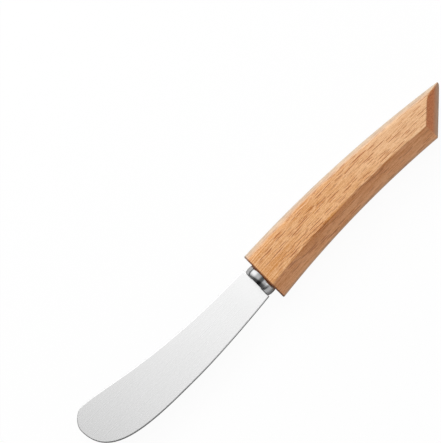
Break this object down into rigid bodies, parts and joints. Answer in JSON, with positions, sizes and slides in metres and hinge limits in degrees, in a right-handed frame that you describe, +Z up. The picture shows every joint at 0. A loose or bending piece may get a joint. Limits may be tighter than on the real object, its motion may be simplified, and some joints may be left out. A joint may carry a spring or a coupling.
{
  "type": "butter knife",
  "caption": "Table butter knife with a broad round-tipped steel blade, a round steel ferrule and an arched, bevel-sided beech handle with a slanted butt.",
  "frame": {"origin": "on the handle's lower broad face, on which the knife rests, below the tang's axis, at the waist of the handle 46 mm behind its front face", "axes": "+X along the tang's axis from the blade's nose to the butt, +Y to the spine side, +Z up from the resting face"},
  "size_m": [0.1754, 0.024, 0.0134],
  "materials": {
    "satin_steel": "fine satin, even on both faces",
    "polished_steel": "turned and polished",
    "beech": "sanded and lightly oiled, matt",
    "cured_adhesive": "cured, hidden inside the handle"
  },
  "bodies": {
    "root": {"blade": "satin_steel", "ferrule": "polished_steel", "handle": "beech", "tang_adhesive": "cured_adhesive"}
  },
  "joints": []
}
